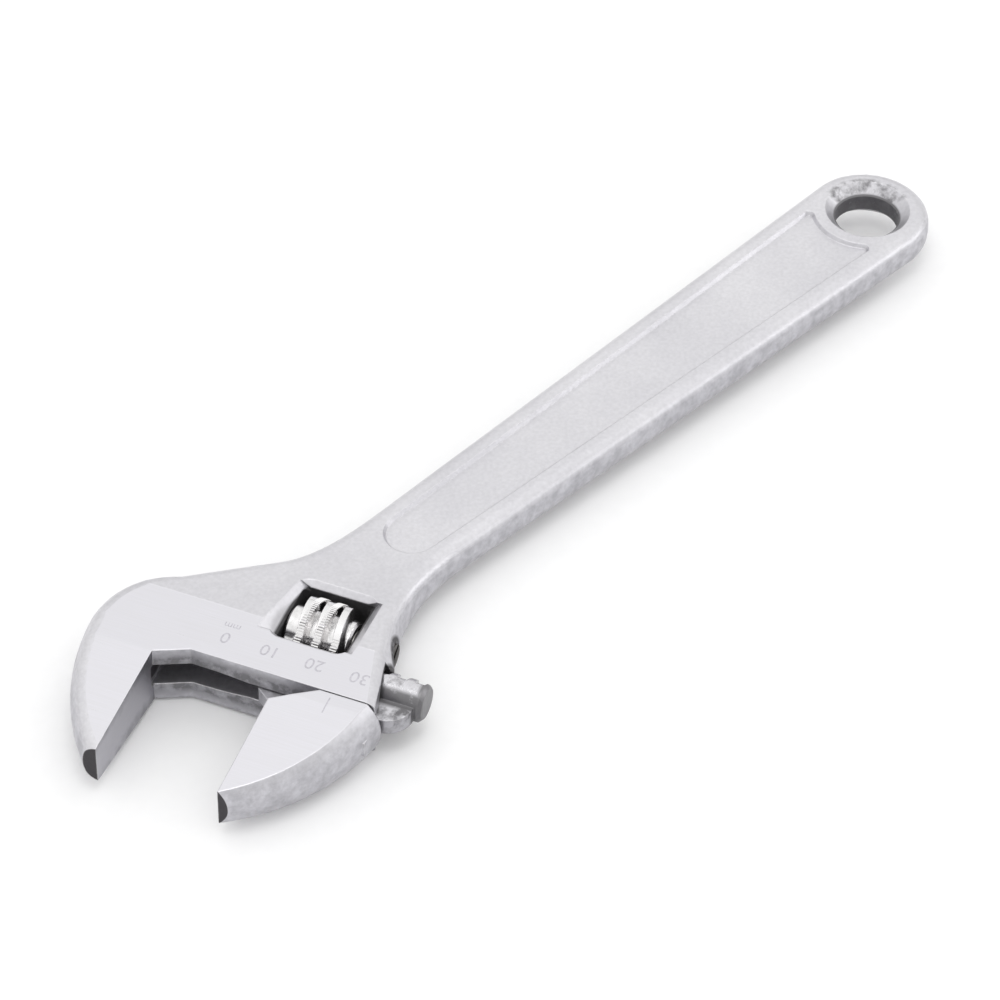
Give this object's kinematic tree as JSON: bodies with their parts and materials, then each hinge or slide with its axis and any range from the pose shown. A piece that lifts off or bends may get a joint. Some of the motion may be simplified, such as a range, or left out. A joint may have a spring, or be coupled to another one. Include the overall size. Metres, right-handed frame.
{
  "type": "adjustable wrench",
  "caption": "Adjustable wrench with a moving jaw on a rack rod, a thumb worm in the head, a flat handle with a sunk panel and a hanging hole.",
  "frame": {"origin": "centre of the hanging hole on the handle's mid-plane", "axes": "+X along the handle towards the jaws, +Z along the hanging hole's axis, up from the head's upper ground face"},
  "size_m": [0.2547, 0.0673, 0.0156],
  "materials": {
    "body": "satin plated forging, head faces ground",
    "moving_jaw": "satin plated, faces ground",
    "worm": "bright, knurled",
    "worm_pin": "dark turned steel",
    "worm_spring": "spring wire"
  },
  "bodies": {
    "handle": {"body": "body", "worm_pin": "worm_pin", "worm_spring": "worm_spring"},
    "jaw": {"moving_jaw": "moving_jaw"},
    "worm": {"worm": "worm"}
  },
  "joints": [
    {"name": "jaw_slide", "type": "slide", "parent": "handle", "child": "jaw", "axis": [-0.3827, 0.9239, 0], "range_m": [-0.027, 0.0032]},
    {"name": "worm_spin", "type": "hinge", "parent": "handle", "child": "worm", "pos_m": [0.18177, 0.00558, 0], "axis": [-0.3827, 0.9239, 0], "range_deg": [-295, 2440]}
  ],
  "couplings": [
    {"joint": "worm_spin", "follows": "jaw_slide", "rad_per_m": -1570.8}
  ]
}
